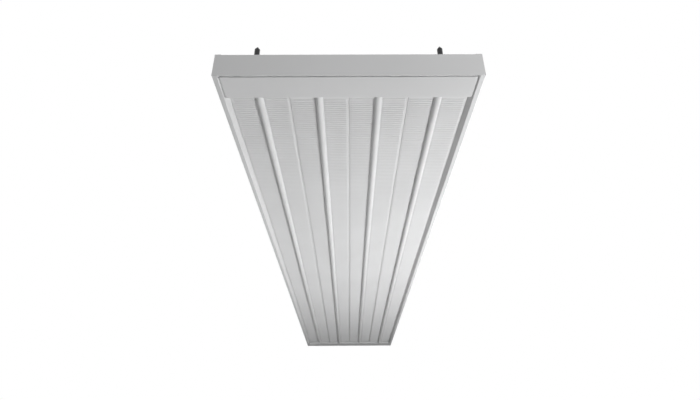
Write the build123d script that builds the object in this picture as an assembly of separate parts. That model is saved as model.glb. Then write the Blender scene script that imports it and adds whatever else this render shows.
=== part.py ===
from build123d import *
import os
from math import radians, tan

# A ceiling-hung radiant heating panel, fed with warm water. Four ribbed plates hang
# face down between two side rails; each plate grips one heating pipe in a half-round seat.
# The pipes end in a header tube at each end, behind a cover and an end plate. The panel
# hangs from four wire grips that stand on the end plates.
#
# Frame: millimetres, X across, Y along the panel (front end at -Y), Z up. The origin is in
# the middle of the panel, in the plane of the side rails' bottom lips.

# Plates and the field that they fill
plate_count = 4
plate_pitch = 150.0
plate_sheet = 1.0
plate_recess = 10.5  # flat underside of the plates above the lip plane
plate_edge_height = 12.5
plate_bend = 1.8
seam_gap = 0.3
seat_mouth_fillet = 0.8

# Side rails
panel_length = 3000.0
panel_height = 68.0
lip_width = 12.0
slope_run = 11.0
rail_sheet = 1.2
rail_bend = 2.0
rail_top_flange = 15.0
rail_inner_return = 13.5

# Heating pipes
pipe_radius = 8.0
pipe_wall = 1.2
pipe_bend_radius = 24.0
pipe_seat_clearance = 0.05
braze_gap = 0.05

# End plates
end_sheet = 1.2
end_bend = 2.0
end_top_flange = 27.0
end_side_flange = 20.0
end_side_flange_base = 6.0
end_side_flange_top = 58.0
end_hem_height = 8.0
part_gap = 0.3  # general gap between loosely fitted sheets

# Header covers
cover_length = 79.0  # from the end face to the fold of the sloped edge
cover_sheet = 1.0
cover_recess = 1.0
cover_bend = 2.0
cover_side_gap = 4.5
cover_shadow_gap = 3.1
cover_flange_height = 21.0
cover_notch_clearance = 1.0

# Header tubes
header_side = 30.0
header_wall = 2.0
header_corner = 4.0
header_base = 35.0
header_inset = 50.0  # from the end face to the tube's centre
header_overhang = 45.0  # beyond the outer pipes
header_cap_sheet = 2.0
divider_sheet = 2.0

# Connection spigots
spigot_radius = 11.0
spigot_wall = 1.5
spigot_height = 30.0
spigot_neck_height = 2.0  # narrower stretch above the header, clear of the coupling
spigot_neck_relief = 0.5
spigot_inset = 60.0  # from the outer pipes towards the middle

# Air vent
vent_body_radius = 7.0
vent_body_height = 11.0
vent_hex_width = 17.0
vent_hex_height = 4.0
vent_screw_radius = 2.5
vent_screw_depth = 7.0
vent_head_radius = 4.5
vent_head_height = 5.0
vent_slot_width = 1.2
vent_slot_depth = 1.5
vent_nozzle_radius = 1.2
vent_lift = 0.3
running_clearance = 0.05

# Insulation blanket
insulation_end_inset = 86.0
insulation_side_inset = 2.5
insulation_pipe_slot = 30.0
insulation_pipe_slot_height = 9.0
insulation_seam_slot = 6.6
insulation_seam_slot_height = 14.0

# Cross bars
bar_count = 3
bar_spacing = 900.0
bar_width = 30.0
bar_height = 15.0
bar_sheet = 1.2
bar_bend = 2.0

# Pipe saddles and seam clips
saddle_sheet = 1.0
saddle_length = 15.0
saddle_foot = 5.0
saddle_count = 6
saddle_spacing = 480.0
clip_sheet = 0.8
clip_length = 30.0
clip_drop = 9.0
clip_count = 8
clip_spacing = 370.0

# Cover clips
cover_clip_sheet = 0.6
cover_clip_width = 24.0
cover_clip_drop = 11.0
cover_clip_count = 3
cover_clip_spacing = 150.0

# Rivets
rivet_radius = 1.6
rivet_head_radius = 3.2
rivet_head_height = 0.9
rivet_clearance = 0.05
edge_rivet_level = 6.5  # above the plates' underside
edge_rivet_count = 8
edge_rivet_spacing = 390.0
end_rivet_inset = 12.0
end_rivet_base = 18.0
end_rivet_rise = 28.0
bar_rivet_inset = 7.5
bar_rivet_spread = 14.0

# Hanger brackets
bracket_sheet = 2.5
bracket_bend = 4.0
bracket_width = 50.0
bracket_drop = 28.0

# Wire grips
grip_inset = 13.5  # axis behind the end face
stud_radius = 3.0
stud_clearance = 0.2
stud_below = 13.0
nut_width = 10.0
nut_height = 5.0
washer_radius = 6.0
washer_sheet = 1.6
barrel_radius = 6.7
barrel_straight = 28.0
barrel_cone_angle = 31.5  # of the cone's side from the grip's axis
barrel_wall = 1.4
plug_height = 5.0
spring_room = 8.0  # left for the spring with the plunger pressed in
taper_height = 6.0
taper_radius = 4.6
plunger_radius = 3.5
plunger_travel = 3.0
plunger_nose_radius = 1.5
plunger_nose_lift = 0.25
plunger_collar_height = 2.0
plunger_lead = 12.5  # length of the wire's close-fitting bore in the nose
wire_bore_radius = 1.0
wire_channel_radius = 1.4
ball_radius = 1.5
ball_orbit = 2.25
ball_count = 3
ball_clearance = 0.08
ball_below_guide = 3.2
spring_wire = 0.9
spring_turns = 5
spring_clearance = 0.3
spring_end_gap = 0.15


def evenly(count, spacing):
    """Places of a row of things, evenly spaced about zero."""
    return [(index - (count - 1) / 2) * spacing for index in range(count)]


# Sizes and places that follow from the ones above
field_half = plate_count * plate_pitch / 2
panel_half_width = field_half + slope_run + lip_width
panel_half_length = panel_length / 2
rail_half_length = panel_half_length - end_sheet
plate_half_length = panel_half_length - cover_length - part_gap
seat_radius = pipe_radius + pipe_seat_clearance
pipe_xs = evenly(plate_count, plate_pitch)
seam_xs = evenly(plate_count - 1, plate_pitch)
bar_ys = evenly(bar_count, bar_spacing)
edge_rivet_ys = evenly(edge_rivet_count, edge_rivet_spacing)
end_rivet_levels = (end_rivet_base, end_rivet_base + end_rivet_rise)
pipe_z = plate_recess
plate_top = plate_recess + plate_sheet
plate_edge_top = plate_recess + plate_edge_height
header_y = panel_half_length - header_inset
header_top = header_base + header_side
header_mid = header_base + header_side / 2
header_half_length = pipe_xs[-1] + header_overhang
divider_x = seam_xs[(plate_count - 1) // 2]
spigot_x = pipe_xs[-1] - spigot_inset
flange_under = panel_height - end_sheet
bracket_under = flange_under - bracket_sheet
rail_flange_under = panel_height - rail_sheet
bar_base = rail_flange_under - bar_height
insulation_base = plate_top + part_gap
insulation_top = bar_base - part_gap
grip_x = pipe_xs[-1]
grip_y = panel_half_length - grip_inset
grip_places = {
    "front_left": (-grip_x, -grip_y),
    "front_right": (grip_x, -grip_y),
    "rear_left": (-grip_x, grip_y),
    "rear_right": (grip_x, grip_y),
}

# Levels inside a wire grip, from its seat on the end plate's flange upwards
grip_base = panel_height
chamber_radius = barrel_radius - barrel_wall
plug_top = grip_base + plug_height
chamber_top = plug_top + spring_room + plunger_travel + plunger_collar_height
guide_base = chamber_top + taper_height
guide_radius = plunger_radius + running_clearance
cone_base = grip_base + barrel_straight
cone_slope = tan(radians(barrel_cone_angle))
barrel_top = cone_base + (barrel_radius - guide_radius) / cone_slope
nose_base = barrel_top + plunger_nose_lift
nose_top = nose_base + (plunger_radius - plunger_nose_radius) / cone_slope
collar_top = chamber_top - running_clearance
collar_base = collar_top - plunger_collar_height
ball_z = guide_base - ball_below_guide


def bent_sheet(points, thickness, bend_radius):
    """Section of a bent sheet: its outer line through the points, its metal to the left."""
    outer_line = FilletPolyline(*points, radius=bend_radius)
    return make_face(offset(outer_line, amount=thickness, side=Side.LEFT))


def along_y(section, half_length):
    """Section drawn in X and Z, carried along Y to both sides of the middle."""
    return extrude(Plane.XZ * section, half_length, both=True)


def along_x(section, half_width):
    """Section drawn in Y and Z, carried along X to both sides of the middle."""
    return extrude(Plane.YZ * section, half_width, both=True)


def upright(radius, base, top, x=0.0, y=0.0):
    """Upright cylinder between two levels."""
    height = top - base
    return Pos(x, y, base + height / 2) * Cylinder(radius, height)


def block(x_range, y_range, z_range):
    """Box between three pairs of limits."""
    sizes = [high - low for low, high in (x_range, y_range, z_range)]
    centre = [(high + low) / 2 for low, high in (x_range, y_range, z_range)]
    return Pos(*centre) * Box(*sizes)


def at_rear(front_piece):
    """The same piece for the rear end, turned half a turn about Z."""
    return Rot(0, 0, 180) * front_piece


def cross_pin(radius, x_low, x_high, y, z):
    """Cylinder along X between two limits."""
    length = x_high - x_low
    return Pos((x_low + x_high) / 2, y, z) * Rot(0, 90, 0) * Cylinder(radius, length)


def radiant_plate(centre_x):
    """Sheet with two upturned edges and a half-round pipe seat below its flat."""
    half_width = plate_pitch / 2 - seam_gap / 2
    outline = [
        (-half_width, plate_edge_top),
        (-half_width, plate_recess),
        (half_width, plate_recess),
        (half_width, plate_edge_top),
    ]
    seat = Pos(0, pipe_z) * Circle(seat_radius + plate_sheet)
    upper_half = Pos(0, pipe_z + plate_pitch / 2) * Rectangle(plate_pitch, plate_pitch)
    section = bent_sheet(outline, plate_sheet, plate_bend) + (seat - upper_half)
    section -= Pos(0, pipe_z) * Circle(seat_radius)
    mouths = [
        corner
        for corner in section.vertices()
        if abs(abs(corner.X) - seat_radius - plate_sheet) < seam_gap
    ]
    section = fillet(mouths, seat_mouth_fillet)
    plate = Pos(centre_x, 0, 0) * along_y(section, plate_half_length)
    if abs(centre_x) == pipe_xs[-1]:
        plate -= edge_rivet_holes()
    return plate


def edge_rivet_holes():
    """Holes for the rivets that join the outer plates to the side rails."""
    reach = field_half + slope_run
    level = plate_recess + edge_rivet_level
    radius = rivet_radius + rivet_clearance
    low = field_half - plate_bend - plate_sheet
    holes = []
    for y in edge_rivet_ys:
        holes.append(cross_pin(radius, low, reach, y, level))
        holes.append(cross_pin(radius, -reach, -low, y, level))
    return holes


def end_rivet_holes():
    """Holes for the rivets that join the end plates to the side rails."""
    low = panel_half_width - lip_width
    radius = rivet_radius + rivet_clearance
    holes = []
    for level in end_rivet_levels:
        for y in (-panel_half_length + end_rivet_inset, panel_half_length - end_rivet_inset):
            holes.append(cross_pin(radius, low, panel_half_width + 1, y, level))
            holes.append(cross_pin(radius, -panel_half_width - 1, -low, y, level))
    return holes


def bar_rivet_places():
    """Places of the rivets that hold the cross bars under the rails' top flanges."""
    inset = panel_half_width - bar_rivet_inset
    return [
        (side * inset, middle + step * bar_rivet_spread / 2)
        for middle in bar_ys
        for side in (-1, 1)
        for step in (-1, 1)
    ]


def bar_rivet_holes():
    """Upright holes through the cross bars and the rails' top flanges."""
    radius = rivet_radius + rivet_clearance
    low = rail_flange_under - bar_sheet - 1
    return [upright(radius, low, panel_height + 1, x, y) for x, y in bar_rivet_places()]


def side_rail():
    """Right-hand rail: inner return, sloped face, bottom lip, outer wall, top flange."""
    outline = [
        (field_half, plate_recess + rail_inner_return),
        (field_half, plate_recess),
        (field_half + slope_run, 0),
        (panel_half_width, 0),
        (panel_half_width, panel_height),
        (panel_half_width - rail_top_flange, panel_height),
    ]
    rail = along_y(bent_sheet(outline, rail_sheet, rail_bend), rail_half_length)
    return rail - edge_rivet_holes() - end_rivet_holes() - bar_rivet_holes()


def heating_pipe(centre_x):
    """Pipe along the panel, both ends bent up into the header tubes."""
    top = header_base + header_wall
    route = FilletPolyline(
        (centre_x, -header_y, top),
        (centre_x, -header_y, pipe_z),
        (centre_x, header_y, pipe_z),
        (centre_x, header_y, top),
        radius=pipe_bend_radius,
    )
    ring = Circle(pipe_radius) - Circle(pipe_radius - pipe_wall)
    return sweep(Plane(route @ 0, z_dir=route % 0) * ring, path=route)


def end_plate():
    """Front end plate: face, top flange between the rails, side flanges and lower hem."""
    front = -panel_half_length
    outline = [
        (front + end_top_flange, panel_height),
        (front, panel_height),
        (front, 0),
    ]
    flange_half = panel_half_width - rail_top_flange - part_gap
    plate = along_x(bent_sheet(outline, end_sheet, end_bend), flange_half)
    hem_half = field_half - part_gap
    behind = front + end_sheet
    plate += block((-hem_half, hem_half), (behind, behind + end_sheet), (0, end_hem_height))
    flange_x = panel_half_width - rail_sheet - part_gap / 2
    flange_levels = (end_side_flange_base, end_side_flange_top)
    for side in (-1, 1):
        corner = sorted((side * flange_half, side * panel_half_width))
        plate += block(corner, (front, behind), (0, panel_height))
        flange = sorted((side * (flange_x - end_sheet), side * flange_x))
        plate += block(flange, (behind, front + end_side_flange), flange_levels)
    hole = upright(stud_radius + stud_clearance, flange_under - 1, panel_height + 1, 0, -grip_y)
    return plate - [Pos(x, 0, 0) * hole for x in (-grip_x, grip_x)] - end_rivet_holes()


def rail_side_room():
    """Space that the covers leave to the right-hand rail's slope and inner return."""
    outline = [
        (field_half - part_gap, panel_height),
        (field_half - part_gap, plate_recess),
        (field_half + slope_run - part_gap, 0),
        (panel_half_width, 0),
        (panel_half_width, panel_height),
    ]
    return along_y(make_face(Polyline(*outline, close=True)), panel_half_length)


def header_cover():
    """Front header cover: upturned flange, flat face, sloped edge notched for the seats."""
    front = -panel_half_length + 2 * end_sheet + cover_shadow_gap
    fold = -panel_half_length + cover_length
    rise = plate_recess - cover_recess - cover_sheet - part_gap
    outline = [
        (front, cover_flange_height),
        (front, cover_recess),
        (fold, cover_recess),
        (fold + rise, cover_recess + rise),
    ]
    half_width = panel_half_width - lip_width - cover_side_gap
    cover = along_x(bent_sheet(outline, cover_sheet, cover_bend), half_width)
    notch_radius = seat_radius + plate_sheet + cover_notch_clearance
    notch = Pos(0, fold + rise, pipe_z) * Rot(90, 0, 0) * Cylinder(notch_radius, 2 * rise)
    cover -= [Pos(x, 0, 0) * notch for x in pipe_xs]
    return cover - rail_side_room() - mirror(rail_side_room(), Plane.YZ)


def header_tube(top_openings):
    """Square tube along X with a hole for each pipe below and the given holes on top."""
    outer = RectangleRounded(header_side, header_side, header_corner)
    inner_side = header_side - 2 * header_wall
    inner = RectangleRounded(inner_side, inner_side, header_corner - header_wall)
    section = Pos(-header_y, header_mid) * (outer - inner)
    tube = along_x(section, header_half_length)
    hole_radius = pipe_radius + braze_gap
    tube -= [upright(hole_radius, header_base - 1, header_mid, x, -header_y) for x in pipe_xs]
    return tube - [upright(r, header_mid, header_top + 1, x, -header_y) for x, r in top_openings]


def header_end_caps():
    """Four square plates that close the header tubes."""
    cap = RectangleRounded(header_side, header_side, header_corner)
    caps = []
    for y in (-header_y, header_y):
        plate = extrude(Plane.YZ * Pos(y, header_mid) * cap, header_cap_sheet)
        caps.append(Pos(header_half_length, 0, 0) * plate)
        caps.append(Pos(-header_half_length - header_cap_sheet, 0, 0) * plate)
    return Compound(caps)


def header_divider():
    """Plate inside the front header, between its supply half and its return half."""
    side = header_side - 2 * (header_wall + braze_gap)
    plate = RectangleRounded(side, side, header_corner - header_wall)
    return Pos(divider_x, 0, 0) * extrude(
        Plane.YZ * Pos(-header_y, header_mid) * plate, divider_sheet / 2, both=True
    )


def connection_spigot(x):
    """Plain tube end that stands on the front header."""
    base = header_top - header_wall
    neck_top = header_top + spigot_neck_height
    top = header_top + spigot_height
    tube = upright(spigot_radius, neck_top, top, x, -header_y)
    tube += upright(spigot_radius - spigot_neck_relief, base, neck_top, x, -header_y)
    bore_radius = spigot_radius - spigot_neck_relief - spigot_wall
    return tube - upright(bore_radius, base - 1, top + 1, x, -header_y)


def vent_levels():
    """Levels of the air vent: foot, hexagon, body top and underside of the screw's head."""
    body_top = header_top + vent_body_height
    return header_top - header_wall, header_top + vent_hex_height, body_top, body_top + vent_lift


def vent_body():
    """Hexagon body on the rear header with the screw's bore and a side nozzle."""
    foot, hex_top, body_top, _ = vent_levels()
    hexagon = RegularPolygon(vent_hex_width / 2, 6, major_radius=False)
    body = upright(vent_body_radius, foot, body_top)
    body += Pos(0, 0, header_top) * extrude(hexagon, hex_top - header_top)
    bore = vent_screw_radius + running_clearance
    body -= upright(bore, body_top - vent_screw_depth - part_gap, body_top + 1)
    body -= upright(vent_nozzle_radius, foot - 1, body_top)
    nozzle_z = (hex_top + body_top) / 2
    body -= cross_pin(vent_nozzle_radius, 0, vent_body_radius + 1, 0, nozzle_z)
    return Pos(0, header_y, 0) * body


def vent_screw():
    """Slotted screw that opens the vent."""
    _, _, body_top, head_base = vent_levels()
    head_top = head_base + vent_head_height
    screw = upright(vent_screw_radius, body_top - vent_screw_depth, head_base)
    screw += upright(vent_head_radius, head_base, head_top)
    slot = block(
        (-vent_head_radius - 1, vent_head_radius + 1),
        (-vent_slot_width / 2, vent_slot_width / 2),
        (head_top - vent_slot_depth, head_top + 1),
    )
    return Pos(0, header_y, 0) * (screw - slot)


def insulation_blanket():
    """Mineral wool blanket on the plates, slotted over the pipes and the seams."""
    half_width = field_half - insulation_side_inset
    height = insulation_top - insulation_base
    section = Pos(0, insulation_base + height / 2) * Rectangle(2 * half_width, height)
    for x in pipe_xs:
        slot = Rectangle(insulation_pipe_slot, 2 * insulation_pipe_slot_height)
        section -= Pos(x, insulation_base) * slot
    for x in seam_xs:
        slot = Rectangle(insulation_seam_slot, 2 * insulation_seam_slot_height)
        section -= Pos(x, insulation_base) * slot
    return along_y(section, panel_half_length - insulation_end_inset)


def cross_bar(middle_y):
    """Channel, open downwards, that ties the rails under their top flanges."""
    half = bar_width / 2
    outline = [
        (middle_y + half, bar_base),
        (middle_y + half, rail_flange_under),
        (middle_y - half, rail_flange_under),
        (middle_y - half, bar_base),
    ]
    half_length = panel_half_width - rail_bend - part_gap
    return along_x(bent_sheet(outline, bar_sheet, bar_bend), half_length) - bar_rivet_holes()


def rivet(length):
    """Rivet along X: head at the origin side, shank, and a formed tail."""
    head = cross_pin(rivet_head_radius, -rivet_head_height, 0, 0, 0)
    shank = cross_pin(rivet_radius, 0, length, 0, 0)
    tail = cross_pin(rivet_head_radius, length, length + rivet_head_height, 0, 0)
    return head + shank + tail


def edge_rivets():
    """Rivets through the outer plates' edges and the rails' inner returns."""
    start = field_half - seam_gap / 2 - plate_sheet
    pin = rivet(field_half + rail_sheet - start)
    level = plate_recess + edge_rivet_level
    rivets = []
    for y in edge_rivet_ys:
        rivets.append(Pos(start, y, level) * pin)
        rivets.append(Pos(-start, y, level) * Rot(0, 0, 180) * pin)
    return Compound(rivets)


def end_plate_rivets():
    """Rivets through the rails' walls and the end plates' side flanges."""
    start = panel_half_width - rail_sheet - part_gap / 2 - end_sheet
    pin = rivet(panel_half_width - start)
    along = panel_half_length - end_rivet_inset
    rivets = []
    for level in end_rivet_levels:
        for y in (-along, along):
            rivets.append(Pos(start, y, level) * pin)
            rivets.append(Pos(-start, y, level) * Rot(0, 0, 180) * pin)
    return Compound(rivets)


def cross_bar_rivets():
    """Rivets down through the rails' top flanges and the cross bars."""
    pin = Rot(0, 90, 0) * rivet(rail_sheet + bar_sheet)
    return Compound([Pos(x, y, panel_height) * pin for x, y in bar_rivet_places()])


def pipe_saddles():
    """Bands over the pipes, with feet spot-welded to the plates."""
    outer = seat_radius + saddle_sheet
    band = Pos(0, pipe_z) * (Circle(outer) - Circle(seat_radius))
    band -= Pos(0, plate_top - outer) * Rectangle(4 * outer, 2 * outer)
    foot_width = saddle_foot + saddle_sheet
    foot = Rectangle(foot_width, saddle_sheet)
    foot_x = outer + saddle_foot - foot_width / 2
    foot_z = plate_top + saddle_sheet / 2
    band += [Pos(foot_x, foot_z) * foot, Pos(-foot_x, foot_z) * foot]
    saddle = along_y(band, saddle_length / 2)
    saddle_ys = evenly(saddle_count, saddle_spacing)
    return Compound([Pos(x, y, 0) * saddle for x in pipe_xs for y in saddle_ys])


def seam_clips():
    """Channels pressed over the upturned edges of neighbouring plates."""
    half_width = seam_gap / 2 + plate_sheet + running_clearance + clip_sheet
    top = plate_edge_top + running_clearance + clip_sheet
    outline = [
        (half_width, top - clip_drop),
        (half_width, top),
        (-half_width, top),
        (-half_width, top - clip_drop),
    ]
    section = bent_sheet(outline, clip_sheet, clip_sheet + running_clearance)
    clip = along_y(section, clip_length / 2)
    clip_ys = evenly(clip_count, clip_spacing)
    return Compound([Pos(x, y, 0) * clip for x in seam_xs for y in clip_ys])


def cover_clips():
    """Spring clips on the end plates that hold the header covers' flanges."""
    back = -panel_half_length + end_sheet
    flange_back = back + end_sheet + cover_shadow_gap + cover_sheet
    front = flange_back + part_gap + cover_clip_sheet
    top = cover_flange_height + part_gap + cover_clip_sheet
    outline = [
        (front, top - cover_clip_drop),
        (front, top),
        (back, top),
        (back, top - cover_clip_drop),
    ]
    clip = along_x(bent_sheet(outline, cover_clip_sheet, 2 * cover_clip_sheet), cover_clip_width / 2)
    clip_xs = evenly(cover_clip_count, cover_clip_spacing)
    front_clips = [Pos(x, 0, 0) * clip for x in clip_xs]
    return Compound(front_clips + [at_rear(clip) for clip in front_clips])


def hanger_brackets():
    """Angles under the end plates' flanges, welded to the header tubes."""
    back = -panel_half_length + end_bend + part_gap
    header_face = -header_y - header_side / 2
    outline = [
        (header_face, flange_under - bracket_drop),
        (header_face, flange_under),
        (back, flange_under),
    ]
    bracket = along_x(bent_sheet(outline, bracket_sheet, bracket_bend), bracket_width / 2)
    hole = upright(stud_radius + stud_clearance, bracket_under - 1, flange_under + 1, 0, -grip_y)
    bracket -= hole
    front = [Pos(x, 0, 0) * bracket for x in (-grip_x, grip_x)]
    return Compound(front + [at_rear(piece) for piece in front])


def at_grips(piece):
    """One copy of a piece drawn on the Z axis for each wire grip."""
    return Compound([Pos(x, y, 0) * piece for x, y in grip_places.values()])


def grip_stud():
    """Threaded stud with the plug that closes the barrel, bored for the wire."""
    stud = upright(stud_radius, grip_base - stud_below, grip_base)
    stud += upright(chamber_radius, grip_base, plug_top)
    return stud - upright(wire_channel_radius, grip_base - stud_below - 1, plug_top + 1)


def grip_washer():
    """Washer under the hanger bracket."""
    base = bracket_under - washer_sheet
    ring = upright(washer_radius, base, bracket_under)
    return ring - upright(stud_radius + stud_clearance, base - 1, bracket_under + 1)


def grip_nut():
    """Hexagon nut on the stud."""
    top = bracket_under - washer_sheet
    nut = Pos(0, 0, top - nut_height) * extrude(
        RegularPolygon(nut_width / 2, 6, major_radius=False), nut_height
    )
    return nut - upright(stud_radius + braze_gap, top - nut_height - 1, top + 1)


def turned(profile):
    """Solid of revolution about Z from (radius, level) points."""
    points = [(radius, 0, level) for radius, level in profile]
    return revolve(make_face(Polyline(*points, close=True)), axis=Axis.Z)


def grip_barrel():
    """Barrel with a conical shoulder, guide bore, ball taper and spring chamber."""
    return turned([
        (chamber_radius, grip_base),
        (barrel_radius, grip_base),
        (barrel_radius, cone_base),
        (guide_radius, barrel_top),
        (guide_radius, guide_base),
        (taper_radius, chamber_top),
        (chamber_radius, chamber_top),
    ])


def grip_plunger():
    """Nose, stem with ball windows, and collar that the spring lifts."""
    nose_bore_base = nose_top - plunger_lead
    plunger = turned([
        (wire_channel_radius, collar_base),
        (chamber_radius - running_clearance, collar_base),
        (chamber_radius - running_clearance, collar_top),
        (plunger_radius, collar_top),
        (plunger_radius, nose_base),
        (plunger_nose_radius, nose_top),
        (wire_bore_radius, nose_top),
        (wire_bore_radius, nose_bore_base),
        (wire_channel_radius, nose_bore_base),
    ])
    window_radius = ball_radius + ball_clearance
    reach = plunger_radius + window_radius
    window = cross_pin(window_radius, ball_orbit - ball_radius, reach, 0, ball_z)
    return plunger - [Rot(0, 0, 360 * n / ball_count) * window for n in range(ball_count)]


def grip_balls():
    """Three balls that bite on the wire."""
    ball = Pos(ball_orbit, 0, ball_z) * Sphere(ball_radius)
    return Compound([Rot(0, 0, 360 * n / ball_count) * ball for n in range(ball_count)])


def grip_spring():
    """Compression spring between the plug and the plunger's collar."""
    wire_radius = spring_wire / 2
    low = plug_top + spring_end_gap + wire_radius
    high = collar_base - spring_end_gap - wire_radius
    coil_radius = chamber_radius - spring_clearance - wire_radius
    coil = Helix(pitch=(high - low) / spring_turns, height=high - low, radius=coil_radius)
    return Pos(0, 0, low) * sweep(Plane(coil @ 0, z_dir=coil % 0) * Circle(wire_radius), path=coil)


def write(node, piece):
    """Write one node to its own file."""
    export_step(piece, f"parts/{node}.step")


os.makedirs("parts", exist_ok=True)

for number, pipe_x in enumerate(pipe_xs, start=1):
    write(f"radiant_plate_{number}", radiant_plate(pipe_x))
    write(f"heating_pipe_{number}", heating_pipe(pipe_x))

right_rail = side_rail()
write("side_rail_right", right_rail)
write("side_rail_left", mirror(right_rail, Plane.YZ))

front_end_plate = end_plate()
write("end_plate_front", front_end_plate)
write("end_plate_rear", at_rear(front_end_plate))

front_cover = header_cover()
write("header_cover_front", front_cover)
write("header_cover_rear", at_rear(front_cover))

spigot_hole = spigot_radius - spigot_neck_relief + braze_gap
front_header = header_tube([(-spigot_x, spigot_hole), (spigot_x, spigot_hole)])
write("header_tube_front", front_header)
write("header_tube_rear", at_rear(header_tube([(0, vent_body_radius + braze_gap)])))
write("header_end_caps", header_end_caps())
write("header_divider", header_divider())
write("supply_spigot", connection_spigot(spigot_x))
write("return_spigot", connection_spigot(-spigot_x))
write("air_vent_body", vent_body())
write("air_vent_screw", vent_screw())

write("insulation_blanket", insulation_blanket())
for number, bar_y in enumerate(bar_ys, start=1):
    write(f"cross_bar_{number}", cross_bar(bar_y))
write("pipe_saddles", pipe_saddles())
write("seam_clips", seam_clips())
write("cover_clips", cover_clips())
write("edge_rivets", edge_rivets())
write("end_plate_rivets", end_plate_rivets())
write("cross_bar_rivets", cross_bar_rivets())

write("hanger_brackets", hanger_brackets())
write("grip_studs", at_grips(grip_stud()))
write("grip_washers", at_grips(grip_washer()))
write("grip_nuts", at_grips(grip_nut()))
barrel, plunger, balls, spring = grip_barrel(), grip_plunger(), grip_balls(), grip_spring()
for place, (x, y) in grip_places.items():
    write(f"grip_barrel_{place}", Pos(x, y, 0) * barrel)
    write(f"grip_plunger_{place}", Pos(x, y, 0) * plunger)
    write(f"grip_balls_{place}", Pos(x, y, 0) * balls)
    write(f"grip_spring_{place}", Pos(x, y, 0) * spring)
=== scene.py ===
from math import asin, cos, hypot, pi, radians, sin

import bmesh
import bpy
import numpy as np
from mathutils import Matrix, Vector


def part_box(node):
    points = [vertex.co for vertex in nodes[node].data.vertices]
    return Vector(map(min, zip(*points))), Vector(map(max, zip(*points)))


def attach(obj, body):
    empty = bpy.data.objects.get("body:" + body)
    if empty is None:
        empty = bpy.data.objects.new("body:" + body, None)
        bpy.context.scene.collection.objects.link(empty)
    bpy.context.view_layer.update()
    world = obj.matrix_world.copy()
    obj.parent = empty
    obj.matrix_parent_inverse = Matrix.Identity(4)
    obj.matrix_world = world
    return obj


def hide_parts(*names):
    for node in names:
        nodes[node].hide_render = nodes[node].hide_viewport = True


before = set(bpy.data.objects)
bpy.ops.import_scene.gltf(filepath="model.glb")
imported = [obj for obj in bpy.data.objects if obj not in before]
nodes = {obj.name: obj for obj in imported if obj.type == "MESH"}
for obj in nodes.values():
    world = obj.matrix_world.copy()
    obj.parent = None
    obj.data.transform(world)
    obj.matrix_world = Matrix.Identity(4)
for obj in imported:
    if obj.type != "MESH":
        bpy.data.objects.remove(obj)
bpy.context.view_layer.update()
scene = bpy.context.scene

# Camera: a wide lens below and in front of the panel's near end, looking up along it. It
# is turned by a pitch, a heading and a slight roll.
camera_place = Vector((-0.0020, -2.3629, -0.8000))
camera_pitch = radians(28.43)
camera_heading = radians(0.215)
camera_roll = radians(-0.334)
camera_lens = 24.94
sensor_width = 36

forward = Vector((
    sin(camera_heading) * cos(camera_pitch),
    cos(camera_heading) * cos(camera_pitch),
    sin(camera_pitch),
))
level_right = Vector((cos(camera_heading), -sin(camera_heading), 0))
level_up = level_right.cross(forward)
right = level_right * cos(camera_roll) + level_up * sin(camera_roll)
up = level_up * cos(camera_roll) - level_right * sin(camera_roll)
camera_turn = Matrix((right, up, -forward)).transposed().to_4x4()
camera_data = bpy.data.cameras.new("camera")
camera_data.lens = camera_lens
camera_data.sensor_width = sensor_width
camera = bpy.data.objects.new("camera", camera_data)
camera.matrix_world = Matrix.Translation(camera_place) @ camera_turn
scene.collection.objects.link(camera)
scene.camera = camera
scene.view_settings.view_transform = "Standard"


# Lamps: square soft boxes. The strongest stands below the panel on the right, a weak one
# below on the left and one in front of the near end; two weak ones light the top and the
# far end.
def soft_lamp(name, place, target, size, power):
    """Square area lamp at a place, facing a target point."""
    lamp = bpy.data.lights.new(name, "AREA")
    lamp.shape = "SQUARE"
    lamp.size = size
    lamp.energy = power
    holder = bpy.data.objects.new(name, lamp)
    aim = Vector(target) - Vector(place)
    lamp_turn = aim.to_track_quat("-Z", "Y").to_matrix().to_4x4()
    holder.matrix_world = Matrix.Translation(place) @ lamp_turn
    scene.collection.objects.link(holder)


soft_lamp("lamp_right", place=(1.65, -0.65, -1.4), target=(0, -0.55, 0), size=1.0, power=65)
soft_lamp("lamp_left", place=(-1.5, -0.7, -1.6), target=(0, -0.5, 0), size=1.4, power=19)
soft_lamp("lamp_front", place=(1.2, -3.5, 0.30), target=(0, -1.5, 0), size=1.2, power=41)
soft_lamp("lamp_top", place=(1.1, 0.4, 1.5), target=(0, 0, 0), size=1.4, power=14)
soft_lamp("lamp_rear", place=(-1.0, 3.6, 0.4), target=(0, 1.5, 0), size=1.4, power=14)

# Backdrop: plain white to the camera, in reflections and through glass. As a light on the
# panel it is soft and weak: dark below, and brighter above the horizon.
white = (1, 1, 1, 1)
sky_below = 0.0
sky_above = 0.35
sky_dark_height = -0.05
sky_full_height = 0.35

world = bpy.data.worlds.new("studio")
world.use_nodes = True
scene.world = world
sky = world.node_tree.nodes
join = world.node_tree.links.new
direction = sky.new("ShaderNodeTexCoord")
height_of = sky.new("ShaderNodeSeparateXYZ")
join(direction.outputs["Generated"], height_of.inputs["Vector"])
soft_sky = sky.new("ShaderNodeMapRange")
soft_sky.inputs["From Min"].default_value = sky_dark_height
soft_sky.inputs["From Max"].default_value = sky_full_height
soft_sky.inputs["To Min"].default_value = sky_below
soft_sky.inputs["To Max"].default_value = sky_above
join(height_of.outputs["Z"], soft_sky.inputs["Value"])
paths = sky.new("ShaderNodeLightPath")
level = soft_sky.outputs["Result"]
for kind in ("Is Camera Ray", "Is Glossy Ray", "Is Transmission Ray"):
    larger = sky.new("ShaderNodeMath")
    larger.operation = "MAXIMUM"
    join(level, larger.inputs[0])
    join(paths.outputs[kind], larger.inputs[1])
    level = larger.outputs[0]
join(level, sky["Background"].inputs["Strength"])
sky["Background"].inputs["Color"].default_value = white

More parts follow.
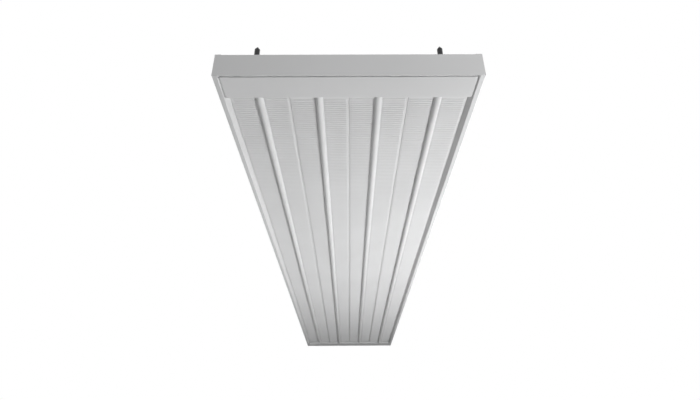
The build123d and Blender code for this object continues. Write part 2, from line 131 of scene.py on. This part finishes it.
# Floor: one wide, pale square far below the panel. Its glow is seen by the camera alone,
# and it throws no soft light back on the panel.
floor_level = -5.0
floor_half = 60.0
floor_colour = (0.80, 0.80, 0.79, 1)
floor_roughness = 0.9
floor_paleness = 0.45

floor_corners = [(-1, -1), (1, -1), (1, 1), (-1, 1)]
floor_points = [(x * floor_half, y * floor_half, floor_level) for x, y in floor_corners]
floor_mesh = bpy.data.meshes.new("floor")
floor_mesh.from_pydata(floor_points, [], [(0, 1, 2, 3)])
floor = bpy.data.objects.new("floor", floor_mesh)
scene.collection.objects.link(floor)
floor.visible_diffuse = False
floor_paint = bpy.data.materials.new("floor_paint")
floor_paint.use_nodes = True
paint_nodes = floor_paint.node_tree.nodes
paint_join = floor_paint.node_tree.links.new
paint_shader = paint_nodes["Principled BSDF"]
paint_shader.inputs["Base Color"].default_value = floor_colour
paint_shader.inputs["Roughness"].default_value = floor_roughness
paint_shader.inputs["Emission Color"].default_value = white
floor_paths = paint_nodes.new("ShaderNodeLightPath")
floor_glow = paint_nodes.new("ShaderNodeMath")
floor_glow.operation = "MULTIPLY"
floor_glow.inputs[1].default_value = floor_paleness
paint_join(floor_paths.outputs["Is Camera Ray"], floor_glow.inputs[0])
paint_join(floor_glow.outputs[0], paint_shader.inputs["Emission Strength"])
floor_mesh.materials.append(floor_paint)

# End plates and header covers: folded sheet steel under a powder coat, a pale grey satin
# skin, baked on, with a fine orange peel and a slight cloudiness. The end plates are riveted
# to the rails, and their rivets are coated with them.
coat_colour = (0.61, 0.612, 0.615)
coat_roughness = 0.40
coat_specular = 0.3
coat_glossier = 0.03
coat_duller = 0.04
gloss_scale = 21.0
peel_scale = 900.0
peel_height = 0.00002
cloud_scale = 3.5
cloud_depth = 0.05
noise_low = 0.3
noise_high = 0.7


def finish_for(name, colour, roughness, metal=0.0):
    """New material with its shader's own sockets set; returns it with its node tree."""
    material = bpy.data.materials.new(name)
    material.use_nodes = True
    shader = material.node_tree.nodes["Principled BSDF"]
    shader.inputs["Base Color"].default_value = (*colour, 1)
    shader.inputs["Roughness"].default_value = roughness
    shader.inputs["Metallic"].default_value = metal
    return material, material.node_tree, shader


def noise(tree, scale, detail=3.0, stretch=(1, 1, 1)):
    """Noise on object coordinates, stretched along the axes; returns its factor socket."""
    place = tree.nodes.new("ShaderNodeTexCoord")
    turn = tree.nodes.new("ShaderNodeMapping")
    turn.inputs["Scale"].default_value = stretch
    grain = tree.nodes.new("ShaderNodeTexNoise")
    grain.inputs["Scale"].default_value = scale
    grain.inputs["Detail"].default_value = detail
    tree.links.new(place.outputs["Object"], turn.inputs["Vector"])
    tree.links.new(turn.outputs["Vector"], grain.inputs["Vector"])
    return grain.outputs["Fac"]


def shade_between(tree, shader, factor, dark, light):
    """Base colour that runs from dark to light over the noise's usual range."""
    ramp = tree.nodes.new("ShaderNodeValToRGB")
    ramp.color_ramp.elements[0].position = noise_low
    ramp.color_ramp.elements[0].color = (*dark, 1)
    ramp.color_ramp.elements[1].position = noise_high
    ramp.color_ramp.elements[1].color = (*light, 1)
    tree.links.new(factor, ramp.inputs["Fac"])
    tree.links.new(ramp.outputs["Color"], shader.inputs["Base Color"])


def gloss_between(tree, shader, factor, low, high):
    """Roughness that runs from low to high over the noise's usual range."""
    remap = tree.nodes.new("ShaderNodeMapRange")
    remap.inputs["From Min"].default_value = noise_low
    remap.inputs["From Max"].default_value = noise_high
    remap.inputs["To Min"].default_value = low
    remap.inputs["To Max"].default_value = high
    tree.links.new(factor, remap.inputs["Value"])
    tree.links.new(remap.outputs["Result"], shader.inputs["Roughness"])


def raise_grain(tree, shader, factor, height):
    """Bump of a given height in metres from a factor."""
    bump = tree.nodes.new("ShaderNodeBump")
    bump.inputs["Strength"].default_value = 1
    bump.inputs["Distance"].default_value = height
    tree.links.new(factor, bump.inputs["Height"])
    tree.links.new(bump.outputs["Normal"], shader.inputs["Normal"])


def powder_coat(name, colour, roughness):
    """Satin powder coat: cloudy colour, varied gloss, orange peel."""
    material, tree, shader = finish_for(name, colour, roughness)
    shader.inputs["Specular IOR Level"].default_value = coat_specular
    dark = [channel * (1 - cloud_depth) for channel in colour]
    shade_between(tree, shader, noise(tree, cloud_scale, detail=4.0), dark, colour)
    gloss = noise(tree, gloss_scale, detail=2.0)
    gloss_between(tree, shader, gloss, roughness - coat_glossier, roughness + coat_duller)
    raise_grain(tree, shader, noise(tree, peel_scale, detail=2.0), peel_height)
    return material


def paint(material, *names):
    """CAD pieces that keep their shape and take a finish."""
    for name in names:
        mesh = nodes[name].data
        mesh.materials.clear()
        mesh.materials.append(material)


sheet_coat = powder_coat("sheet_coat", coat_colour, coat_roughness)
paint(sheet_coat, "end_plate_front", "end_plate_rear", "header_cover_front", "header_cover_rear")
paint(sheet_coat, "end_plate_rivets")

# Side rails: one folded steel strip each, with an inner return, a sloped face, a bottom lip
# that rises slightly to the outside, an outer wall and a top flange. Powder coated, riveted
# to the outer plates and to the end plates.
rail_sheet = 0.0012
rail_bend = 0.0020
rail_return_top = 0.0240
rail_slope_top = 0.0105
rail_slope_run = 0.0110
rail_lip_rise = 0.0012
rail_span = 0.0230
rail_top_flange = 0.0150
bend_steps = 6
bend_margin = 0.0004


def arc(centre, radius, start, stop, count):
    """Points on a circle between two angles in degrees."""
    turn = np.radians(np.linspace(start, stop, count))
    return np.stack([centre[0] + radius * np.cos(turn), centre[1] + radius * np.sin(turn)], 1)


def bent_section(points, radius, thickness):
    """Closed section of a bent sheet whose outer line follows the points, metal to the left.

    Each corner becomes an arc of the bend radius on the outer line and of the radius less
    the thickness on the inner one, with a point on the straight just before and after."""
    points = np.array(points)
    along = np.diff(points, axis=0)
    along /= np.linalg.norm(along, axis=1)[:, None]
    left = np.stack([-along[:, 1], along[:, 0]], 1)
    outer = [points[:1]]
    inner = [points[:1] + left[:1] * thickness]
    corners = zip(points[1:], along, along[1:], left, left[1:])
    for corner, before, after, before_left, after_left in corners:
        turn = np.arccos(np.dot(before, after))
        cut = radius * np.tan(turn / 2) + bend_margin
        centre = corner - before * (cut - bend_margin) + before_left * radius
        start = np.degrees(np.arctan2(-before_left[1], -before_left[0]))
        stop = start + np.degrees(turn)
        entry = corner - before * cut
        leave = corner + after * cut
        outer += [entry[None], arc(centre, radius, start, stop, bend_steps), leave[None]]
        entry = entry + before_left * thickness
        leave = leave + after_left * thickness
        bend = arc(centre, radius - thickness, start, stop, bend_steps)
        inner += [entry[None], bend, leave[None]]
    outer.append(points[-1:])
    inner.append(points[-1:] + left[-1:] * thickness)
    return np.concatenate([np.concatenate(outer), np.concatenate(inner)[::-1]])


def carried_along(rows, section):
    """Grid of points: the section's X and Z at every row's Y."""
    grid = np.empty((len(rows), len(section), 3))
    grid[:, :, 0] = section[None, :, 0]
    grid[:, :, 1] = rows[:, None]
    grid[:, :, 2] = section[None, :, 1]
    return grid


def grid_faces(rows, columns, first=0, closed=False):
    """Quads of a grid of points; a closed grid joins its last column to its first."""
    last_column = columns if closed else columns - 1
    row, column = np.meshgrid(np.arange(rows - 1), np.arange(last_column), indexing="ij")
    row = row.ravel()
    column = column.ravel()
    beside = (column + 1) % columns
    corners = [row * columns + column, row * columns + beside]
    corners += [(row + 1) * columns + beside, (row + 1) * columns + column]
    return (first + np.stack(corners, 1)).tolist()


def end_faces(rows, columns):
    """The two faces that close the first and last row of a closed grid."""
    last = (rows - 1) * columns
    return [list(range(columns)), list(range(last, last + columns))]


def mesh_object(name, points, faces, material):
    """Object from points and faces: smooth but for its end faces, which have sharp rims."""
    mesh = bpy.data.meshes.new(name)
    mesh.from_pydata(points.reshape(-1, 3).tolist(), [], faces)
    shell = bmesh.new()
    shell.from_mesh(mesh)
    bmesh.ops.recalc_face_normals(shell, faces=shell.faces)
    for face in shell.faces:
        face.smooth = len(face.verts) == 4
        if not face.smooth:
            for edge in face.edges:
                edge.smooth = False
    shell.to_mesh(mesh)
    shell.free()
    mesh.update()
    mesh.materials.append(material)
    piece = bpy.data.objects.new(name, mesh)
    scene.collection.objects.link(piece)
    return piece


def stands_for(piece, node):
    """Shows a piece in place of a CAD node of the panel."""
    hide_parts(node)
    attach(piece, "panel")


def folded_rail(name, node, side):
    """Rail section carried straight along Y through the CAD rail's length."""
    low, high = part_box(node)
    inner = min(abs(low[0]), abs(high[0]))
    top = high[2]
    outer_wall = inner + rail_span
    section = bent_section([
        (inner, rail_return_top),
        (inner, rail_slope_top),
        (inner + rail_slope_run, 0),
        (outer_wall, rail_lip_rise),
        (outer_wall, top),
        (outer_wall - rail_top_flange, top),
    ], rail_bend, rail_sheet)
    section[:, 0] *= side
    points = carried_along(np.array([low[1], high[1]]), section)
    faces = grid_faces(2, len(section), closed=True) + end_faces(2, len(section))
    rail = mesh_object(name, points, faces, sheet_coat)
    stands_for(rail, node)


folded_rail("folded_rail_left", "side_rail_left", -1)
folded_rail("folded_rail_right", "side_rail_right", 1)

# Radiant plates: thin sheet steel, roll-formed with fine ribs across it, a half-round seat
# along the middle that snaps round the heating pipe, and upturned edges. Powder coated.
plate_colour = (0.63, 0.632, 0.635)
plate_sheet = 0.0010
plate_bend = 0.0018
plate_edge_height = 0.0125
seat_outer = 0.00905
mouth_fillet = 0.0008
under_steps = (4, 4, 7)  # points round the bend, the seat's mouth and the seat
over_steps = (3, 2, 5)
rib_pitch = 0.0085
rib_height = 0.0013
rib_phase_steps = np.array([0.0, 0.12, 0.5, 0.62])  # a rib's corners, in shares of the pitch
rib_levels = (0, 0, 1, 1)
rib_end_margin = 0.0105
rib_side_margin = 0.0020
rib_fade = 0.0035
rib_fade_steps = np.array([0, 0.5, 1])
rib_fade_weights = np.array([0, 0.6, 1])
rib_flank = 0.1  # a face that leans along Y by more than this is a flank
rib_phases = (0.1, 0.8, 0.35, 0.6)  # where each plate's first rib starts, in shares of the pitch
plate_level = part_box("radiant_plate_1")[1][2] - plate_edge_height


def plate_half_section(half_width, lift, steps, ribbed):
    """Left half of the sheet's section at a lift above its underside: edge, bend, flat, seat.

    A straight edge, a quarter bend, a flat with extra points where the ribs fade, a small
    reversed fillet and a quarter round; the lift is added to or taken from each radius.
    Returns the points and the ribs' weight at each."""
    bend_points, mouth_points, seat_points = steps
    bend_centre = (-half_width + plate_bend, plate_level + plate_bend)
    bend = arc(bend_centre, plate_bend - lift, 180, 270, bend_points)
    drop = np.degrees(asin(mouth_fillet / (seat_outer + mouth_fillet)))
    mouth_centre = (-hypot(seat_outer + mouth_fillet, mouth_fillet), plate_level - mouth_fillet)
    mouth = arc(mouth_centre, mouth_fillet + lift, 90, drop, mouth_points)
    seat = arc((0, plate_level), seat_outer - lift, 180 + drop, 270, seat_points)[1:]
    flat_start = bend[-1][0] + rib_side_margin
    flat_stop = mouth[0][0] - rib_side_margin
    if ribbed:
        rising = flat_start + rib_fade * rib_fade_steps
        falling = flat_stop - rib_fade * rib_fade_steps[::-1]
        flat_x = np.concatenate([rising, falling])
        weight = np.concatenate([rib_fade_weights, rib_fade_weights[::-1]])
    else:
        flat_x = np.array([flat_start, flat_stop])
        weight = np.zeros(2)
    flat = np.stack([flat_x, np.full(len(flat_x), plate_level + lift)], 1)
    edge = [(-half_width + lift, plate_level + plate_edge_height)]
    points = np.concatenate([edge, bend, flat, mouth, seat])
    weights = np.concatenate([np.zeros(1 + len(bend)), weight, np.zeros(len(mouth) + len(seat))])
    return points, weights


def mirrored(points, weights):
    """Whole section from its left half."""
    other = points[-2::-1] * np.array([-1, 1])
    return np.concatenate([points, other]), np.concatenate([weights, weights[-2::-1]])


def face_values(mesh, field, width=1):
    """One field of all the mesh's faces as an array."""
    values = np.empty(len(mesh.polygons) * width, np.float32)
    mesh.polygons.foreach_get(field, values)
    return values.reshape(-1, width)


def ribbed_plate(name, node, phase):
    """Closed shell of one plate.

    The underside is the section carried along Y, lowered by the rib height times a wave of
    short crests, short valleys and straight flanks; the upper side has no ribs."""
    low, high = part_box(node)
    half_width = (high[0] - low[0]) / 2
    centre = (high[0] + low[0]) / 2
    rib_count = int((high[1] - low[1] - 2 * rib_end_margin) / rib_pitch) - 1
    first_rib = low[1] + rib_end_margin + rib_pitch * phase
    ribs = (first_rib + (np.arange(rib_count)[:, None] + rib_phase_steps) * rib_pitch).ravel()
    after_last = ribs[-1:] + rib_phase_steps[2] * rib_pitch
    rows = np.concatenate([[low[1]], ribs, after_last, [high[1]]])
    wave = np.concatenate([[0], np.tile(rib_levels, rib_count), [0, 0]])
    under, weights = mirrored(*plate_half_section(half_width, 0.0, under_steps, True))
    over, _ = mirrored(*plate_half_section(half_width, plate_sheet, over_steps, False))
    below = carried_along(rows, under)
    below[:, :, 2] -= rib_height * wave[:, None] * weights[None, :]
    above = carried_along(rows, over)
    points = np.concatenate([below.reshape(-1, 3), above.reshape(-1, 3)])
    points[:, 0] += centre

    count = len(rows)
    wide = len(under)
    narrow = len(over)
    start = count * wide
    last_below = start - wide
    last_above = start + (count - 1) * narrow
    faces = grid_faces(count, wide) + grid_faces(count, narrow, start)
    row = np.arange(count - 1)
    for low_edge, high_edge in ((0, 0), (wide - 1, narrow - 1)):
        lower = row * wide + low_edge
        upper = start + row * narrow + high_edge
        faces += np.stack([lower, lower + wide, upper + narrow, upper], 1).tolist()
    near_above = list(range(start, start + narrow))
    far_below = list(range(last_below, start))
    faces.append(list(range(wide)) + near_above[::-1])
    faces.append(far_below[::-1] + list(range(last_above, last_above + narrow)))

    plate = mesh_object(name, points, faces, plate_coat)
    lean = np.abs(face_values(plate.data, "normal", 3)[:, 1])
    smooth = face_values(plate.data, "use_smooth")[:, 0].astype(bool)
    plate.data.polygons.foreach_set("use_smooth", smooth & (lean <= rib_flank))
    stands_for(plate, node)


plate_coat = powder_coat("plate_coat", plate_colour, coat_roughness)
for number, phase in enumerate(rib_phases, start=1):
    ribbed_plate(f"ribbed_plate_{number}", f"radiant_plate_{number}", phase)

# Heating pipes, headers and spigots: drawn steel tube, pushed up into the plates' seats and
# brazed into square headers, which wear a dark primer.
steel_colour = (0.42, 0.42, 0.43)
primer_colour = (0.16, 0.16, 0.17)
mark_detail = 5.0
mark_shade = 0.82
mark_duller = 0.08
mark_glossier = 0.05
mark_depth = 0.00002


def worked_metal(name, colour, roughness, scale, stretch, depth=mark_depth):
    """Bare metal whose tool marks follow a stretched noise in colour, gloss and height."""
    material, tree, shader = finish_for(name, colour, roughness, metal=1.0)
    marks = noise(tree, scale, mark_detail, stretch)
    dark = [channel * mark_shade for channel in colour]
    shade_between(tree, shader, marks, dark, colour)
    gloss_between(tree, shader, marks, roughness + mark_duller, roughness - mark_glossier)
    raise_grain(tree, shader, marks, depth)
    return material


drawn_steel = worked_metal(
    "drawn_steel", steel_colour, roughness=0.42, scale=260.0, stretch=(1, 0.03, 1))
turned_steel = worked_metal(
    "turned_steel", steel_colour, roughness=0.38, scale=700.0, stretch=(0.1, 0.1, 1))
primer = powder_coat("primer", primer_colour, roughness=0.52)
paint(drawn_steel, "heating_pipe_1", "heating_pipe_2", "heating_pipe_3", "heating_pipe_4")
paint(turned_steel, "supply_spigot", "return_spigot")
paint(primer, "header_tube_front", "header_tube_rear", "header_end_caps", "header_divider")

# Bars, saddles, clips and brackets: galvanised sheet, cut and folded, with the frosted
# crystals that zinc leaves on steel. Bars are riveted, saddles and clips are pushed on.
zinc_colour = (0.60, 0.61, 0.63)
zinc_dull_colour = (0.46, 0.47, 0.49)
zinc_roughness = 0.38
zinc_metal = 0.9
zinc_glossiest = 0.30
zinc_dullest = 0.50
spangle_scale = 160.0
zinc_grain_scale = 500.0
zinc_grain_height = 0.00002

galvanised, tree, shader = finish_for("galvanised", zinc_colour, zinc_roughness, zinc_metal)
position = tree.nodes.new("ShaderNodeTexCoord")
spangle = tree.nodes.new("ShaderNodeTexVoronoi")
spangle.inputs["Scale"].default_value = spangle_scale
tree.links.new(position.outputs["Object"], spangle.inputs["Vector"])
crystal = tree.nodes.new("ShaderNodeRGBToBW")
tree.links.new(spangle.outputs["Color"], crystal.inputs["Color"])
shade_between(tree, shader, crystal.outputs["Val"], zinc_dull_colour, zinc_colour)
gloss_between(tree, shader, crystal.outputs["Val"], zinc_glossiest, zinc_dullest)
raise_grain(tree, shader, noise(tree, zinc_grain_scale), zinc_grain_height)
paint(galvanised, "cross_bar_1", "cross_bar_2", "cross_bar_3")
paint(galvanised, "pipe_saddles", "seam_clips", "cover_clips", "hanger_brackets")

# Rivets, studs, washers and nuts: small turned and pressed steel, bright zinc plated. The
# studs hold the hanger brackets under the grips.
plated_colour = (0.66, 0.66, 0.67)
plated = worked_metal(
    "plated", plated_colour, roughness=0.28, scale=900.0, stretch=(1, 1, 0.3), depth=0.00001)
paint(plated, "edge_rivets", "cross_bar_rivets", "grip_studs", "grip_washers", "grip_nuts")

# Air vent: brass body on the far header, with a slotted brass screw. Both are turned, so
# their fine rings lie level.
brass_colour = (0.72, 0.56, 0.28)
brass = worked_metal(
    "brass", brass_colour, roughness=0.26, scale=1200.0, stretch=(0.05, 0.05, 1), depth=0.00001)
paint(brass, "air_vent_body", "air_vent_screw")

# Wire grips: black barrels and plungers, each turned from bar, with three ground steel
# balls and a wound spring inside. They stand at the four corners.
black_colour = (0.02, 0.02, 0.022)
ball_colour = (0.80, 0.80, 0.82)
spring_colour = (0.50, 0.50, 0.52)
blackened = powder_coat("blackened", black_colour, roughness=0.3)
ground_steel = worked_metal(
    "ground_steel", ball_colour, roughness=0.10, scale=2000.0, stretch=(1, 1, 1), depth=0.000004)
spring_steel = worked_metal(
    "spring_wire", spring_colour, roughness=0.34, scale=1500.0, stretch=(1, 1, 0.2), depth=0.000008)
for corner in ("front_left", "front_right", "rear_left", "rear_right"):
    paint(blackened, f"grip_barrel_{corner}", f"grip_plunger_{corner}")
    paint(ground_steel, f"grip_balls_{corner}")
    paint(spring_steel, f"grip_spring_{corner}")

# Insulation blanket: mineral wool with a crinkled foil facing, laid over the pipes and held
# down by the cross bars, so that it swells a little between them. Made by a height formula.
pipe_places = (-0.225, -0.075, 0.075, 0.225)
seam_places = (-0.150, 0.0, 0.150)
bar_places = np.array([-0.9, 0.0, 0.9])
bar_half_room = 0.020
bar_press = 0.0003
pipe_slot_half = 0.015
pipe_slot_height = 0.0090
seam_slot_half = 0.0033
seam_slot_height = 0.0140
blanket_rows = 420
top_columns = 110
side_points = 7
corner_points = 5
corner_round = 0.004
wool_swell = 0.005
wool_end_rise = 0.003
wool_end_reach = 4  # the end has its full rise at a quarter of the free span
wool_sag = 0.0012
wool_sag_base = 0.5
wall_margin = 0.0001
crown_power = 4
hold_reach = 6  # the creases have their full height at a sixth of the free span
crease_count = 34
crease_lengths = (0.03, 0.22)
crease_height = 0.0080
foil_fold = 0.008
foil_lean = 0.9  # a face that leans along Y by less than this isn't an end face
wool_colour = (0.62, 0.54, 0.33)
wool_dark = (0.42, 0.36, 0.20)
wool_light = (0.70, 0.62, 0.40)
wool_roughness = 0.95
fibre_scale = 420.0
fibre_height = 0.0008
foil_colour = (0.56, 0.57, 0.58)
foil_dark = (0.44, 0.45, 0.46)
foil_light = (0.60, 0.61, 0.62)
foil_roughness = 0.45
foil_glossiest = 0.36
foil_dullest = 0.52
foil_metal = 0.9
foil_gloss_scale = 24.0
crinkle_scale = 70.0
crinkle_height = 0.0006
creases = np.random.default_rng(7)


def crease_field(x, y):
    """Sum of folded sine waves in random directions: each is one less its absolute sine."""
    total = np.zeros_like(x)
    for _ in range(crease_count):
        length = creases.uniform(*crease_lengths)
        heading = creases.uniform(0, pi)
        start = creases.uniform(0, pi)
        travel = (x * cos(heading) + y * sin(heading)) * pi / length + start
        total += length * (1 - np.abs(np.sin(travel)))
    return total / (crease_count * crease_lengths[1])


def blanket_underside(half_width, base):
    """Points across the blanket's underside, right to left, round the pipes' and seams' slots."""
    line = [(half_width, base)]
    slots = [(x, pipe_slot_half, pipe_slot_height) for x in pipe_places]
    slots += [(x, seam_slot_half, seam_slot_height) for x in seam_places]
    for middle, half, height in sorted(slots, reverse=True):
        line += [(middle + half, base), (middle + half, base + height)]
        line += [(middle - half, base + height), (middle - half, base)]
    line.append((-half_width, base))
    return np.array(line)


def blanket_section(half_width, base, top):
    """Closed section: slotted underside, straight sides, rounded corners and a flat top."""
    side = np.linspace(base + corner_round, top - corner_round, side_points)
    round_x = half_width - corner_round
    round_z = top - corner_round
    top_x = np.linspace(-round_x, round_x, top_columns)
    left_corner = arc((-round_x, round_z), corner_round, 180, 90, corner_points)
    right_corner = arc((round_x, round_z), corner_round, 90, 0, corner_points)
    return np.concatenate([
        blanket_underside(half_width, base),
        np.stack([np.full(side_points, -half_width), side], 1),
        left_corner[1:],
        np.stack([top_x, np.full(top_columns, top)], 1)[1:-1],
        right_corner[:-1],
        np.stack([np.full(side_points, half_width), side[::-1]], 1),
    ])


def blanket(name, node):
    """Section carried along Y, then raised, creased and drawn in.

    The top rises by a squared sine between the bars, less towards the sides, with the
    creases on it, and is pressed down a little at the bars. The sides draw in by a curve
    that is nought at their top and bottom."""
    low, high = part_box(node)
    half_width = high[0]
    rows = np.linspace(low[1], high[1], blanket_rows)
    section = blanket_section(half_width, low[2], high[2])
    points = carried_along(rows, section)
    x, y, z = points[:, :, 0], points[:, :, 1], points[:, :, 2]
    height = np.clip((z - high[2] + corner_round) / corner_round, 0, 1)
    nearest = np.abs(rows[:, None] - bar_places[None, :]).min(1)
    span = (bar_places[1] - bar_places[0]) / 2
    free = np.clip((nearest - bar_half_room) / (span - bar_half_room), 0, 1)
    crown = wool_swell * np.sin(free * pi / 2) ** 2
    end_crown = wool_end_rise * np.minimum(free * wool_end_reach, 1)
    crown = np.where(np.abs(rows) > bar_places[-1], end_crown, crown)
    across = 1 - (np.abs(x) / half_width) ** crown_power
    held = np.clip(free * hold_reach, 0, 1)[:, None]
    wave = crease_field(x, y)
    lift = crown[:, None] * across + held * crease_height * (wave - wave.mean())
    z += height * lift * (held > 0)
    z -= height * (1 - held) * bar_press
    pull = np.clip((z - low[2]) * (high[2] - z), 0, None) / ((high[2] - low[2]) / 2) ** 2
    on_side = np.abs(x) > half_width - wall_margin
    x -= np.sign(x) * on_side * wool_sag * pull * (wool_sag_base + wave)
    columns = len(section)
    faces = grid_faces(blanket_rows, columns, closed=True) + end_faces(blanket_rows, columns)
    piece = mesh_object(name, points, faces, wool)
    piece.data.materials.append(foil)
    middles = face_values(piece.data, "center", 3)[:, 2]
    lean = np.abs(face_values(piece.data, "normal", 3)[:, 1])
    on_top = (middles > high[2] - foil_fold) & (lean < foil_lean)
    piece.data.polygons.foreach_set("material_index", on_top.astype(np.int32))
    stands_for(piece, node)


wool, tree, shader = finish_for("wool", wool_colour, wool_roughness)
fibres = noise(tree, fibre_scale, detail=6.0, stretch=(0.25, 0.25, 1))
shade_between(tree, shader, fibres, wool_dark, wool_light)
raise_grain(tree, shader, fibres, fibre_height)
foil, tree, shader = finish_for("foil", foil_colour, foil_roughness, foil_metal)
crinkle = noise(tree, crinkle_scale, detail=6.0)
shade_between(tree, shader, crinkle, foil_dark, foil_light)
gloss_between(tree, shader, noise(tree, foil_gloss_scale), foil_glossiest, foil_dullest)
raise_grain(tree, shader, crinkle, crinkle_height)
blanket("wool_blanket", "insulation_blanket")
